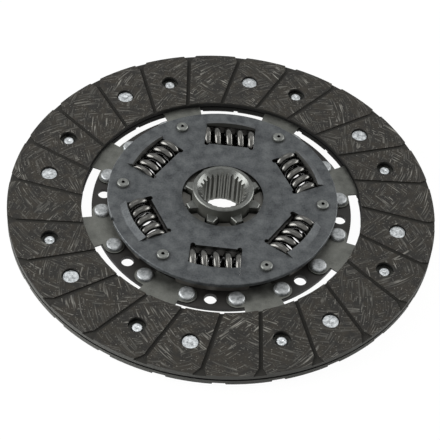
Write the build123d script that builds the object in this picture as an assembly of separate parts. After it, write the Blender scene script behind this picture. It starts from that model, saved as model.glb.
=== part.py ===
from build123d import *
from math import atan, cos, degrees, pi, radians, sin
import os

# Clutch disc with a torsion damper.
# Millimetres. The axis is Z, the cover plate faces +Z, and the origin is the centre of the
# hub's rear end, which is the lowest point. Angles are in degrees, counter-clockwise from +X.

# Hub spline
spline_count = 26
spline_minor_r = 11.25
spline_depth = 1.35
spline_space_half_w = 0.99    # at the minor radius
spline_root_half_w = 0.42     # at the major radius
front_mouth_overlap = 1.4     # countersink beyond the spline's major radius
rear_mouth_overlap = 0.15

# Hub
hub_length = 22.75
barrel_wall = 3.6             # outside the spline
rear_barrel_step = 0.2        # the rear barrel is this much smaller in radius
barrel_chamfer = 0.5
hub_tooth_count = 8
first_tooth_angle = 30.8
tooth_base_half_w = 2.95
tooth_tip_half_w = 1.3
tooth_h = 6.1
tooth_root_depth = 1.0        # how far each tooth runs into the barrel
pilot_step = 1.9              # teeth turned down where they stand in the cover plate
pilot_proud = 0.2             # above the cover plate
hub_end_play = 0.2
idle_limit = 3.0              # lash of the hub teeth in the flange, either way
idle_clearance = 0.15
flange_bore_clearance = 0.8
tooth_edge_chamfer = 0.35

# Friction parts between the plates and the flange
friction_gap = 1.275          # on each side of the flange
friction_ring_t = 0.8
friction_ring_clearance = 0.6     # around the hub teeth
friction_w = 8.0              # of the ring, the disc spring and the bush's collar
disc_spring_t = 0.3
disc_spring_inset = 1.1       # its bore is this much larger in radius than the ring's
bush_running_clearance = 0.06
bush_sleeve_wall = 3.94
bush_sleeve_proud = 0.6       # below the driven plate

# Damper springs and their windows
spring_count = 6
first_window_angle = 30.0
spring_circle_r = 44.5
spring_outer_r = 8.2
wire_d = 3.9
coil_gap = 2.4                # between open coils
closed_gap = 0.1              # between closed coils
closed_turns = 0.6            # at each end
spring_top_turn = 0.05        # turn at which the wire first passes the cover side
window_l = 27.0
window_inner_lap = 0.3        # straight inner edge, inside the spring's outer side
spring_end_clearance = 0.05
seat_clearance = 0.1          # spring to the coined window edge
relief_r = 1.3                # round relief in the window's inner corners
lip_lap = 1.0                 # flared lip's edge, inside the spring's outer side
lip_height = 1.9
lip_angle = 28.0
lip_side_gap = 0.05
lip_bend_r = 1.4

# Hub flange
flange_t = 4.5
flange_window_clearance = 0.9     # around the spring
flange_window_corner_r = 2.0
flange_rim_w = 5.3            # outside the windows
twist_limit = 6.0             # either way, until the stop rivets meet the flange
stop_clearance = 0.2
notch_depth_clearance = 0.8
notch_mouth_half_w = 12.5
notch_mouth_depth = 4.4
notch_corner_r = 2.5

# Stop rivets, which space the plates and limit the twist
stop_count = 6
stop_inset = 5.6              # rivet circle inside the flange's rim
stop_barrel_r = 3.6
stop_shank_r = 2.6
stop_head_r = 3.15
stop_head_t = 1.9
stop_centre_r = 0.9
stop_centre_depth = 1.4

# Driven plate and cover plate
plate_t = 2.2
cover_overhang = 2.4          # beyond the flange
cover_edge_round = 0.6
cover_opening_clearance = 1.3     # around the turned-down hub teeth
cover_bevel_w = 3.5
cover_bevel_depth = 0.5
driven_rim_w = 5.5            # outside the segment rivets' circle
vent_hole_r = 3.3
vent_hole_inset = 0.5         # vent hole circle inside the segment rivets' circle
vent_hole_count = 8
rim_notch_r = 1.4             # punched datum notch in the cover plate's rim
rim_notch_angle = 204.7
plate_hole_clearance = 0.05

# Segment rivets
segment_head_r = 4.3
segment_head_t = 2.0
segment_head_top_r = 3.5
segment_head_gap = 0.8        # between the rivet heads and the flange
segment_shank_r = 2.6
segment_tail_r = 3.9
segment_tail_t = 1.4

# Friction linings: two equal rings, one turned over
lining_plate_gap = 5.5        # between the linings and the driven plate
lining_w = 39.0
lining_t = 2.75
lining_face_z = 5.25          # rear friction face above the hub's rear end
cushion_gap = 1.2             # free height of the waved segments between the linings
groove_count = 24
groove_angle = 14.8           # outer end of the first groove
groove_w = 2.2
groove_depth = 0.9
groove_skew = 5.4             # how far the inner end leads the outer end
flare_l = 6.2                 # widened outer end of each groove, along the groove
flare_w = 6.9
lining_rivet_count = 8        # of each kind
headed_angle = 40.6           # rivets with their head in the front lining
tailed_angle = 23.6           # rivets with their head in the rear lining
rivet_pocket_r = 4.7
pocket_floor_t = 0.85         # lining left under a rivet head

# Lining rivets, semi-tubular
lining_head_r = 4.3
lining_head_t = 0.9
lining_shank_r = 2.0
lining_tail_r = 2.9
lining_tail_t = 1.2
tube_bore_r = 0.8
tube_bore_depth = 0.8

# Cushion segments
segment_count = 8
segment_t = 0.7
segment_angle = 23.0          # neck centre line of the first segment
neck_half_angle = 8.25
ear_angle = 11.0
ear_r = 5.3
foot_reach_in = 6.5           # foot's inner edge, from the segment rivets' circle
paddle_before = 12.5          # degrees from the neck centre line to each edge of the paddle
paddle_after = 31.0
paddle_inset_inner = 2.5      # paddle inside the lining's inner edge
paddle_inset_outer = 1.5      # and inside its outer edge
paddle_corner_r = 3.0
neck_overlap = 1.0            # how far the neck runs into the paddle
wave_rise_start = 11.5        # where the waved paddle leaves the rear lining
wave_rise_end = 19.5
wave_fall_start = 36.5        # and where it goes back to it
wave_fall_end = 45.0

# Radii worked out from the sizes above, from the axis outwards
spline_major_r = spline_minor_r + spline_depth
front_mouth_r = spline_major_r + front_mouth_overlap
rear_mouth_r = spline_major_r + rear_mouth_overlap
barrel_r = spline_major_r + barrel_wall
rear_barrel_r = barrel_r - rear_barrel_step
tooth_tip_r = barrel_r + tooth_h
pilot_tip_r = tooth_tip_r - pilot_step
cover_opening_r = pilot_tip_r + cover_opening_clearance
bush_bore_r = rear_barrel_r + bush_running_clearance
bush_sleeve_outer_r = bush_bore_r + bush_sleeve_wall
friction_ring_inner_r = tooth_tip_r + friction_ring_clearance
friction_outer_r = friction_ring_inner_r + friction_w
disc_spring_inner_r = friction_ring_inner_r + disc_spring_inset
window_inner = spring_circle_r - spring_outer_r + window_inner_lap
lip_edge_r = spring_circle_r + spring_outer_r - lip_lap
flange_window_inner = spring_circle_r - spring_outer_r - flange_window_clearance
flange_window_outer = spring_circle_r + spring_outer_r + flange_window_clearance
flange_r = flange_window_outer + flange_rim_w
notch_mouth_start_r = flange_r - notch_mouth_depth
stop_circle_r = flange_r - stop_inset
cover_plate_r = flange_r + cover_overhang
segment_rivet_circle_r = flange_r + segment_head_gap + segment_head_r
vent_hole_circle_r = segment_rivet_circle_r - vent_hole_inset
foot_inner_r = segment_rivet_circle_r - foot_reach_in
driven_plate_r = segment_rivet_circle_r + driven_rim_w
lining_inner_r = driven_plate_r + lining_plate_gap
lining_outer_r = lining_inner_r + lining_w
lining_rivet_circle_r = (lining_inner_r + lining_outer_r) / 2
paddle_inner_r = lining_inner_r + paddle_inset_inner
paddle_outer_r = lining_outer_r - paddle_inset_outer

# Heights worked out from the sizes above
segment_z = lining_face_z + lining_t                  # rear lining's back, driven plate's front
front_lining_z = segment_z + cushion_gap
driven_rear_z = segment_z - plate_t
flange_z = segment_z + friction_gap
flange_front_z = flange_z + flange_t
cover_rear_z = flange_front_z + friction_gap
cover_front_z = cover_rear_z + plate_t
damper_mid_z = (driven_rear_z + cover_front_z) / 2
segment_high = cushion_gap - segment_t                # rise of the wave

# Steps and lengths worked out from the sizes above
window_step = 360 / spring_count
window_angles = [first_window_angle + window_step * k for k in range(spring_count)]
stop_angles = [first_window_angle + window_step * (k + 0.5) for k in range(stop_count)]
segment_step = 360 / segment_count
spring_l = window_l - 2 * spring_end_clearance
spring_pitch = wire_d + coil_gap
closed_pitch = wire_d + closed_gap


def at_polar(radius, angle, z=0.0):
    return Pos(radius * cos(radians(angle)), radius * sin(radians(angle)), z)


def washer(outer_r, inner_r, thickness, z):
    return Pos(0, 0, z) * extrude(Circle(outer_r) - Circle(inner_r), thickness)


def drilled(radius, z_from, z_to):
    return Pos(0, 0, z_from) * extrude(Circle(radius), z_to - z_from)


def turned(points):
    # A solid of revolution about Z from its half section of (radius, height) points.
    return revolve(Plane.XZ * make_face(Polyline(*points, close=True)), Axis.Z)


def sector(inner_r, outer_r, from_angle, to_angle):
    # A flat ring sector between two angles less than 180 degrees apart.
    reach = 2 * outer_r
    edges = [(reach * cos(radians(a)), reach * sin(radians(a))) for a in (from_angle, to_angle)]
    wedge = make_face(Polyline((0, 0), *edges, close=True))
    return (Circle(outer_r) - Circle(inner_r)) & wedge


def make_groove():
    # Outline of one groove in the friction face, outer end at angle 0.
    outer = Vector(lining_outer_r, 0)
    inner = Vector(lining_inner_r, 0).rotate(Axis.Z, groove_skew)
    along = (outer - inner).normalized()
    across = Vector(-along.Y, along.X)
    half = across * (groove_w / 2)
    start = inner - along * groove_w
    end = outer + along * groove_w
    slot = make_face(Polyline(start - half, end - half, end + half, start + half, close=True))
    mouth = across * (flare_w / 2 * (flare_l + groove_w) / flare_l)
    flare = make_face(Polyline(outer - along * flare_l, end - mouth, end + mouth, close=True))
    return slot + flare


def make_lining():
    # Back face at z = 0, friction face upwards.
    ring = washer(lining_outer_r, lining_inner_r, lining_t, 0)
    groove = Pos(0, 0, lining_t - groove_depth) * extrude(make_groove(), 2 * groove_depth)
    cuts = [Rot(Z=groove_angle + 360 / groove_count * k) * groove for k in range(groove_count)]
    for k in range(lining_rivet_count):
        turn = 360 / lining_rivet_count * k
        headed = at_polar(lining_rivet_circle_r, headed_angle + turn)
        tailed = at_polar(lining_rivet_circle_r, tailed_angle + turn)
        cuts.append(headed * drilled(rivet_pocket_r, pocket_floor_t, 2 * lining_t))
        cuts.append(headed * drilled(lining_shank_r + plate_hole_clearance, -lining_t, lining_t))
        cuts.append(tailed * drilled(rivet_pocket_r, -lining_t, 2 * lining_t))
    return ring - cuts


def make_lining_rivet():
    # Head under side at z = 0 and head upwards; the tail is rolled over under the segment.
    seat = -(pocket_floor_t + segment_t)
    end = seat - lining_tail_t
    return turned([
        (0, lining_head_t - tube_bore_r / 2),
        (tube_bore_r, lining_head_t),
        (lining_head_r, lining_head_t),
        (lining_head_r, 0),
        (lining_shank_r, 0),
        (lining_shank_r, seat),
        (lining_tail_r, seat),
        (lining_tail_r, seat - lining_tail_t / 2),
        (lining_shank_r, end),
        (tube_bore_r, end),
        (tube_bore_r, end + tube_bore_depth),
        (0, end + tube_bore_depth),
    ])


def make_segment():
    # One cushion segment, neck along +X: a flat foot, and a paddle waved from side to side.
    foot = sector(foot_inner_r, paddle_inner_r + neck_overlap, -neck_half_angle, neck_half_angle)
    foot += sector(segment_rivet_circle_r - ear_r, segment_rivet_circle_r + ear_r, -ear_angle, ear_angle)
    for side in (-1, 1):
        foot += at_polar(segment_rivet_circle_r, side * ear_angle) * Circle(ear_r)
    for side in (-1, 1):
        hole_r = segment_shank_r + plate_hole_clearance
        foot -= at_polar(segment_rivet_circle_r, side * ear_angle) * Circle(hole_r)
    paddle = sector(paddle_inner_r, paddle_outer_r, -paddle_before, paddle_after)
    paddle = fillet(paddle.vertices(), paddle_corner_r)
    for angle in (headed_angle, tailed_angle):
        hole_r = lining_shank_r + plate_hole_clearance
        paddle -= at_polar(lining_rivet_circle_r, angle - segment_angle) * Circle(hole_r)
    heights = [
        (-paddle_outer_r, 0),
        (wave_rise_start, 0),
        (wave_rise_end, segment_high),
        (wave_fall_start, segment_high),
        (wave_fall_end, 0),
        (paddle_outer_r, 0),
    ]
    over = [(y, z + segment_t) for y, z in reversed(heights)]
    ribbon = extrude(Plane.YZ * make_face(Polyline(*heights, *over, close=True)), paddle_outer_r)
    return extrude(foot, segment_t) + (ribbon & extrude(paddle, cushion_gap))


def make_segment_rivet():
    # Head under side at z = 0; the shank passes the segment and the driven plate.
    seat = -(segment_t + plate_t)
    crown = segment_head_r - segment_head_top_r
    profile = make_face(
        Line((0, segment_head_t), (segment_head_top_r, segment_head_t))
        + RadiusArc((segment_head_top_r, segment_head_t),
                    (segment_head_r, segment_head_t - crown), crown)
        + Polyline((segment_head_r, segment_head_t - crown), (segment_head_r, 0),
                   (segment_shank_r, 0), (segment_shank_r, seat), (segment_tail_r, seat),
                   (segment_tail_r, seat - segment_tail_t / 2),
                   (segment_shank_r, seat - segment_tail_t), (0, seat - segment_tail_t),
                   (0, segment_head_t))
    )
    return revolve(Plane.XZ * profile, Axis.Z)


def make_stop_rivet():
    # Shouldered spacer between the plates, headed over on both outer faces.
    top = cover_front_z + stop_head_t
    bottom = driven_rear_z - stop_head_t
    round_off = stop_head_t / 2
    half = [
        (stop_centre_r, top),
        (stop_head_r - round_off, top),
        (stop_head_r, top - round_off),
        (stop_head_r, cover_front_z),
        (stop_shank_r, cover_front_z),
        (stop_shank_r, cover_rear_z),
        (stop_barrel_r, cover_rear_z),
    ]
    mirrored = [(r, top + bottom - z) for r, z in reversed(half)]
    centre_top = [(0, bottom + stop_centre_depth), (0, top - stop_centre_depth)]
    return turned(half + mirrored + [(stop_centre_r, bottom + stop_centre_depth)] + centre_top
                  + [(stop_centre_r, top - stop_centre_depth)])


def make_lip():
    # Lip flared up from a plate whose outer face is z = 0, for the window at angle 0.
    rise = Vector(-cos(radians(lip_angle)), sin(radians(lip_angle)))
    normal = Vector(sin(radians(lip_angle)), cos(radians(lip_angle)))
    tip = Vector(lip_edge_r, lip_height)
    under_tip = tip - normal * plate_t
    bend = tip - rise * (lip_height / rise.Y)
    under_bend = under_tip - rise * ((under_tip.Y + plate_t) / rise.Y)
    root_r = lip_root_r()
    section = make_face(Polyline((root_r, 0), bend, tip, under_tip, under_bend,
                                 (root_r, -plate_t), close=True))
    corners = [section.vertices().sort_by_distance(corner)[0] for corner in (bend, under_bend)]
    section = fillet(corners, lip_bend_r)
    ring = revolve(Plane.XZ * section, Axis.Z)
    keep = Box(root_r, window_l - 2 * lip_side_gap, 4 * plate_t,
               align=(Align.MIN, Align.CENTER, Align.CENTER))
    return ring & keep


def lip_root_r():
    return lip_edge_r + lip_height / sin(radians(lip_angle)) * cos(radians(lip_angle)) + lip_bend_r / 2


def make_window_cut():
    # Window at angle 0 through a plate whose outer face is z = 0, up to the root of the lip.
    block = Pos(window_inner, 0) * Rectangle(lip_root_r(), window_l, align=(Align.MIN, Align.CENTER))
    opening = block & Circle(lip_root_r())
    for side in (-1, 1):
        opening += Pos(window_inner, side * (window_l / 2 - relief_r)) * Circle(relief_r)
    return Pos(0, 0, -2 * plate_t) * extrude(opening, 4 * plate_t)


def spring_envelope(clearance):
    # The room one spring takes at angle 0, at its true height.
    length = window_l if clearance else spring_l
    barrel = Cylinder(spring_outer_r + clearance, length, rotation=(90, 0, 0))
    return Pos(spring_circle_r, 0, damper_mid_z) * barrel


def add_windows(plate, outer_face_z, outward):
    # outward is +1 where the lips rise towards +Z and -1 where they point to -Z.
    place = Pos(0, 0, outer_face_z) * Rot(X=0 if outward > 0 else 180)
    cut = make_window_cut()
    lip = make_lip()
    room = spring_envelope(seat_clearance)
    for angle in window_angles:
        plate -= Rot(Z=angle) * place * cut
        plate += Rot(Z=angle) * place * lip
        plate -= Rot(Z=angle) * room
    return plate


def make_driven_plate():
    plate = washer(driven_plate_r, bush_sleeve_outer_r + plate_hole_clearance, plate_t, driven_rear_z)
    holes = []
    for k in range(vent_hole_count):
        centre = at_polar(vent_hole_circle_r, 360 / vent_hole_count * k)
        holes.append(centre * drilled(vent_hole_r, 0, cover_front_z))
    for place in segment_rivet_places():
        holes.append(place * drilled(segment_shank_r + plate_hole_clearance, 0, cover_front_z))
    for angle in stop_angles:
        hole = drilled(stop_shank_r + plate_hole_clearance, 0, cover_front_z)
        holes.append(at_polar(stop_circle_r, angle) * hole)
    return add_windows(plate - holes, driven_rear_z, -1)


def make_cover_plate():
    plate = washer(cover_plate_r, cover_opening_r, plate_t, cover_rear_z)
    rim = plate.edges().filter_by(GeomType.CIRCLE).group_by(Axis.Z)[-1].sort_by(SortBy.RADIUS)[-1]
    plate = fillet(rim, cover_edge_round)
    bevel = turned([
        (0, cover_front_z - cover_bevel_depth),
        (cover_opening_r, cover_front_z - cover_bevel_depth),
        (cover_opening_r + cover_bevel_w, cover_front_z),
        (0, cover_front_z),
    ])
    cuts = [bevel, at_polar(cover_plate_r, rim_notch_angle) * drilled(rim_notch_r, 0, 2 * cover_front_z)]
    for angle in stop_angles:
        hole = drilled(stop_shank_r + plate_hole_clearance, 0, 2 * cover_front_z)
        cuts.append(at_polar(stop_circle_r, angle) * hole)
    return add_windows(plate - cuts, cover_front_z, 1)


def tooth_outline(inner_r, tip_r, widen, sway):
    # One hub tooth on the +X axis; a slot is the same form with room for the sway added.
    slope = (tooth_tip_half_w - tooth_base_half_w) / (tooth_tip_r - barrel_r)

    def half_w(radius):
        return tooth_base_half_w + slope * (radius - barrel_r) + widen + radius * sin(radians(sway))

    return make_face(Polyline(
        (inner_r, -half_w(inner_r)), (tip_r, -half_w(tip_r)),
        (tip_r, half_w(tip_r)), (inner_r, half_w(inner_r)), close=True))


def make_flange():
    blank = Circle(flange_r) - Circle(barrel_r + flange_bore_clearance)
    slot = tooth_outline(barrel_r, tooth_tip_r + 2 * idle_clearance, idle_clearance, idle_limit)
    for k in range(hub_tooth_count):
        blank -= Rot(Z=first_tooth_angle + 360 / hub_tooth_count * k) * slot
    window = Pos(flange_window_inner, 0) * RectangleRounded(
        flange_window_outer - flange_window_inner, window_l, flange_window_corner_r,
        align=(Align.MIN, Align.CENTER))
    notch_floor = stop_circle_r - stop_barrel_r - notch_depth_clearance
    notch_half_w = stop_circle_r * sin(radians(twist_limit)) + stop_barrel_r + stop_clearance
    past = flange_r + notch_half_w
    mouth_slope = (notch_mouth_half_w - notch_half_w) / (flange_r - notch_mouth_start_r)
    past_half_w = notch_half_w + mouth_slope * (past - notch_mouth_start_r)
    notch = make_face(Polyline(
        (notch_floor, -notch_half_w), (notch_mouth_start_r, -notch_half_w), (past, -past_half_w),
        (past, past_half_w), (notch_mouth_start_r, notch_half_w), (notch_floor, notch_half_w),
        close=True))
    notch = fillet(notch.vertices().group_by(Axis.X)[0], notch_corner_r)
    for angle in window_angles:
        blank -= Rot(Z=angle) * window
    for angle in stop_angles:
        blank -= Rot(Z=angle) * notch
    return Pos(0, 0, flange_z) * extrude(blank, flange_t)


def make_countersink(mouth_r):
    # Cone of 90 degrees down to the spline's minor radius, from a mouth at z = 0.
    depth = mouth_r - spline_minor_r
    return turned([
        (0, -depth),
        (mouth_r + depth, -depth),
        (spline_minor_r, depth),
        (0, depth),
    ])


def make_spline_cut():
    # Bore with straight-sided spaces, and a countersink at each mouth.
    space = make_face(Polyline(
        (0, -spline_space_half_w), (spline_minor_r, -spline_space_half_w),
        (spline_major_r, -spline_root_half_w), (spline_major_r, spline_root_half_w),
        (spline_minor_r, spline_space_half_w), (0, spline_space_half_w),
        close=True))
    bore = Circle(spline_minor_r)
    for k in range(spline_count):
        bore += Rot(Z=90 + 360 / spline_count * (k + 0.5)) * space
    front_mouth = Pos(0, 0, hub_length) * Rot(X=180) * make_countersink(front_mouth_r)
    return extrude(bore, hub_length) + [make_countersink(rear_mouth_r), front_mouth]


def make_hub():
    retained_z = cover_rear_z - hub_end_play
    pilot_z = cover_front_z + pilot_proud
    body = turned([
        (0, 0),
        (rear_barrel_r - barrel_chamfer, 0),
        (rear_barrel_r, barrel_chamfer),
        (rear_barrel_r, flange_z),
        (barrel_r, flange_z),
        (barrel_r, hub_length - barrel_chamfer),
        (barrel_r - barrel_chamfer, hub_length),
        (0, hub_length),
    ])
    inside = tooth_outline(barrel_r - tooth_root_depth, tooth_tip_r, 0, 0)
    low = Pos(0, 0, flange_z) * extrude(inside, retained_z - flange_z)
    pilot = Pos(0, 0, flange_z) * extrude(inside, pilot_z - flange_z)
    pilot -= washer(2 * tooth_tip_r, pilot_tip_r, pilot_z, retained_z)
    tooth = low + pilot
    top_edges = tooth.edges().group_by(Axis.Z)[-1].filter_by(Axis.Z, reverse=True)
    outer_edges = [e for e in top_edges if e.center().X > barrel_r]
    tooth = chamfer(outer_edges, tooth_edge_chamfer)
    teeth = [Rot(Z=first_tooth_angle + 360 / hub_tooth_count * k) * tooth for k in range(hub_tooth_count)]
    return body + teeth - make_spline_cut()


def make_spring():
    # Along +Z from z = 0: an open coil between two closed turns, with ground flat ends.
    coil_r = spring_outer_r - wire_d / 2
    closed_climb = atan(closed_pitch / (2 * pi * coil_r))
    open_climb = atan(spring_pitch / (2 * pi * coil_r))
    joint_climb = (closed_climb + open_climb) / 2
    ground_off = wire_d / 4
    open_l = spring_l - 2 * ground_off - 2 * closed_turns * closed_pitch
    open_turns = open_l / spring_pitch
    spans = [
        (closed_pitch, closed_turns),
        (spring_pitch, open_turns),
        (closed_pitch, closed_turns),
    ]
    start = Plane(origin=(coil_r, 0, 0), x_dir=(1, 0, 0),
                  z_dir=(0, cos(joint_climb), sin(joint_climb)))
    z = ground_off
    turn = 0.0
    coil = None
    for pitch, turns in spans:
        path = Edge.make_helix(pitch, pitch * turns, coil_r)
        piece = sweep(start * Circle(wire_d / 2), path=path, is_frenet=True)
        placed = Pos(0, 0, z) * Rot(Z=360 * turn) * piece
        coil = placed if coil is None else coil + placed
        z += pitch * turns
        turn += turns
    ends = Cylinder(2 * spring_outer_r, spring_l, align=(Align.CENTER, Align.CENTER, Align.MIN))
    return coil & ends


def make_friction_ring():
    return washer(friction_outer_r, friction_ring_inner_r, friction_ring_t, flange_front_z)


def make_disc_spring():
    # Coned washer: outer edge on the friction ring, inner edge against the cover plate.
    low = flange_front_z + friction_ring_t
    return turned([
        (friction_outer_r, low),
        (friction_outer_r, low + disc_spring_t),
        (disc_spring_inner_r, cover_rear_z),
        (disc_spring_inner_r, cover_rear_z - disc_spring_t),
    ])


def make_guide_bush():
    # Moulded bush: a sleeve in the driven plate, and a collar the flange runs on.
    return turned([
        (bush_bore_r, driven_rear_z - bush_sleeve_proud),
        (bush_sleeve_outer_r, driven_rear_z - bush_sleeve_proud),
        (bush_sleeve_outer_r, segment_z),
        (friction_outer_r, segment_z),
        (friction_outer_r, flange_z),
        (bush_bore_r, flange_z),
    ])


def segment_rivet_places():
    places = []
    for k in range(segment_count):
        for side in (-1, 1):
            angle = segment_angle + segment_step * k + side * ear_angle
            places.append(at_polar(segment_rivet_circle_r, angle))
    return places


def save(shape, name):
    shape.label = name
    export_step(shape, os.path.join("parts", name + ".step"))
    solids = shape.solids()
    print(name, len(solids), round(sum(s.volume for s in solids), 1))


def group(copies):
    # Identical loose pieces, kept as separate solids in one file.
    return Compound(children=[Part(copy.solids()[0].wrapped) for copy in copies])


os.makedirs("parts", exist_ok=True)

lining = make_lining()
save(Pos(0, 0, front_lining_z) * lining, "front_lining")
save(Pos(0, 0, segment_z) * Rot(Z=headed_angle + tailed_angle) * Rot(X=180) * lining, "rear_lining")

segment = make_segment()
for k in range(segment_count):
    turn = segment_angle + segment_step * k
    save(Pos(0, 0, segment_z) * Rot(Z=turn) * segment, f"cushion_segment_{k + 1}")

save(make_driven_plate(), "driven_plate")
save(make_cover_plate(), "cover_plate")
save(make_flange(), "hub_flange")
save(make_hub(), "hub")
save(make_friction_ring(), "friction_ring")
save(make_disc_spring(), "disc_spring")
save(make_guide_bush(), "guide_bush")

spring = make_spring()
lay_down = Pos(spring_circle_r, spring_l / 2, damper_mid_z) * Rot(X=90)
wind = Rot(Z=90 - 360 * spring_top_turn)
for k, angle in enumerate(window_angles):
    save(Rot(Z=angle) * lay_down * wind * spring, f"damper_spring_{k + 1}")

stop_rivet = make_stop_rivet()
save(group([at_polar(stop_circle_r, a) * stop_rivet for a in stop_angles]), "stop_rivets")

segment_rivet = Pos(0, 0, segment_z + segment_t) * make_segment_rivet()
save(group([place * segment_rivet for place in segment_rivet_places()]), "segment_rivets")

lining_rivet = make_lining_rivet()
rivet_turns = [360 / lining_rivet_count * k for k in range(lining_rivet_count)]
front_seat = Pos(0, 0, front_lining_z + pocket_floor_t)
rear_seat = Pos(0, 0, segment_z - pocket_floor_t) * Rot(X=180)
save(group([at_polar(lining_rivet_circle_r, headed_angle + t) * front_seat * lining_rivet
            for t in rivet_turns]), "front_lining_rivets")
save(group([at_polar(lining_rivet_circle_r, tailed_angle + t) * rear_seat * lining_rivet
            for t in rivet_turns]), "rear_lining_rivets")
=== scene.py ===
import bpy
import math
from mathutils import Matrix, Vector


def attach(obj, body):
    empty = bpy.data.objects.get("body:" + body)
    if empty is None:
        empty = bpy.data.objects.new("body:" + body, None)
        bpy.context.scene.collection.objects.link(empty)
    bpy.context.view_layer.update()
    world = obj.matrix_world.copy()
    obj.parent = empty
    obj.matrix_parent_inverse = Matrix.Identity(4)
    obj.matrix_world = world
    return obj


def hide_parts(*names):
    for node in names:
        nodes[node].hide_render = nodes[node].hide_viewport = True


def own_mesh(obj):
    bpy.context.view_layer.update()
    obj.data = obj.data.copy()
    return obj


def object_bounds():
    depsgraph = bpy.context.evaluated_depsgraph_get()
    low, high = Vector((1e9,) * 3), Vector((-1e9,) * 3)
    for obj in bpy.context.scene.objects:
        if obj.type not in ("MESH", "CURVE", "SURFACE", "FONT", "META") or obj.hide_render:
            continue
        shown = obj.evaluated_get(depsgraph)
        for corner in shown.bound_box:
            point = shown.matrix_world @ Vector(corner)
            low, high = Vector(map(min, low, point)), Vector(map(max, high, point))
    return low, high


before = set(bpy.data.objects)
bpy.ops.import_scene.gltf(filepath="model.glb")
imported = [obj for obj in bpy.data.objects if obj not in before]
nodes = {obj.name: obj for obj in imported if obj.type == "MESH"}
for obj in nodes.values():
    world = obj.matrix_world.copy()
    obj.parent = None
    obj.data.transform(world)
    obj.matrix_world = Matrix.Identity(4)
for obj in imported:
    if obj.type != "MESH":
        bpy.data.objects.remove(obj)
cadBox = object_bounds()
print("frame loaded:", len(nodes), "nodes")

mm = 0.001


def hexToLinear(text):
    # sRGB hex to linear RGBA
    out = []
    for i in (0, 2, 4):
        c = int(text[i:i + 2], 16) / 255
        out.append(c / 12.92 if c <= 0.04045 else ((c + 0.055) / 1.055) ** 2.4)
    return (*out, 1.0)


def addNode(tree, kind, inputs=None, **settings):
    # one node: settings are its properties, inputs are values or sockets to link from
    node = tree.nodes.new(kind)
    for name, value in settings.items():
        setattr(node, name, value)
    for name, value in (inputs or {}).items():
        if isinstance(value, bpy.types.NodeSocket):
            tree.links.new(value, node.inputs[name])
        else:
            node.inputs[name].default_value = value
    return node


def newMaterial(name):
    material = bpy.data.materials.new(name)
    material.use_nodes = True
    material.node_tree.nodes.clear()
    return material, material.node_tree


def seenShare(tree):
    # 1 where the studio's white is seen directly, in a reflection or through a clear piece
    rays = addNode(tree, "ShaderNodeLightPath").outputs
    direct = addNode(tree, "ShaderNodeMath", {0: rays["Is Camera Ray"], 1: rays["Is Transmission Ray"]},
                     operation="MAXIMUM").outputs[0]
    return addNode(tree, "ShaderNodeMath", {0: direct, 1: rays["Is Glossy Ray"]},
                   operation="MAXIMUM").outputs[0]


def dress(names, material):
    for name in names:
        piece = nodes[name]
        if piece.material_slots:
            for slot in piece.material_slots:
                slot.link = "OBJECT"
                slot.material = material
        else:
            piece.data.materials.append(material)


cameraSpec = {
    "place": (0.011733, -0.552674, 0.624749),
    "turn": (41.2395, -3.5278, 5.2551),   # degrees, XYZ
    "lens": 126.504, "sensor": 36,
    "clip": (0.05, 20),
}

camera = bpy.data.objects.new("camera", bpy.data.cameras.new("camera"))
bpy.context.collection.objects.link(camera)
camera.location = cameraSpec["place"]
camera.rotation_euler = [math.radians(a) for a in cameraSpec["turn"]]
camera.data.lens = cameraSpec["lens"]
camera.data.sensor_width = cameraSpec["sensor"]
camera.data.clip_start, camera.data.clip_end = cameraSpec["clip"]
bpy.context.scene.camera = camera

lampSpec = {
    # name: (place, aimed at, size x, size y, watts)
    "leftSoftbox": ((-1.1, -0.2, 0.46), (0, 0, 0), 1.1, 0.95, 24.0),
    "rightSoftbox": ((1.08, 0.4, 0.33), (0, 0, 0), 1.1, 0.5, 11.5),
    "overheadSoftbox": ((-0.1, 0.4, 1.35), (0, 0, 0), 0.9, 0.9, 3.0),
}
worldStrength = 0.24

for name, (place, aim, sizeX, sizeY, watts) in lampSpec.items():
    light = bpy.data.lights.new(name, "AREA")
    light.shape = "RECTANGLE"
    light.size = sizeX
    light.size_y = sizeY
    light.energy = watts
    lamp = bpy.data.objects.new(name, light)
    bpy.context.collection.objects.link(lamp)
    lamp.location = place
    lamp.rotation_euler = (Vector(aim) - Vector(place)).to_track_quat("-Z", "Y").to_euler()

world = bpy.data.worlds.new("studio")
bpy.context.scene.world = world
world.use_nodes = True
world.node_tree.nodes.clear()
sky = world.node_tree
soft = addNode(sky, "ShaderNodeBackground", {"Color": (1, 1, 1, 1), "Strength": worldStrength})
white = addNode(sky, "ShaderNodeBackground", {"Color": (1, 1, 1, 1), "Strength": 1.0})
sides = addNode(sky, "ShaderNodeMixShader", {0: seenShare(sky), 1: soft.outputs[0], 2: white.outputs[0]})
addNode(sky, "ShaderNodeOutputWorld", {"Surface": sides.outputs[0]})

bpy.context.scene.view_settings.view_transform = "Standard"

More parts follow.
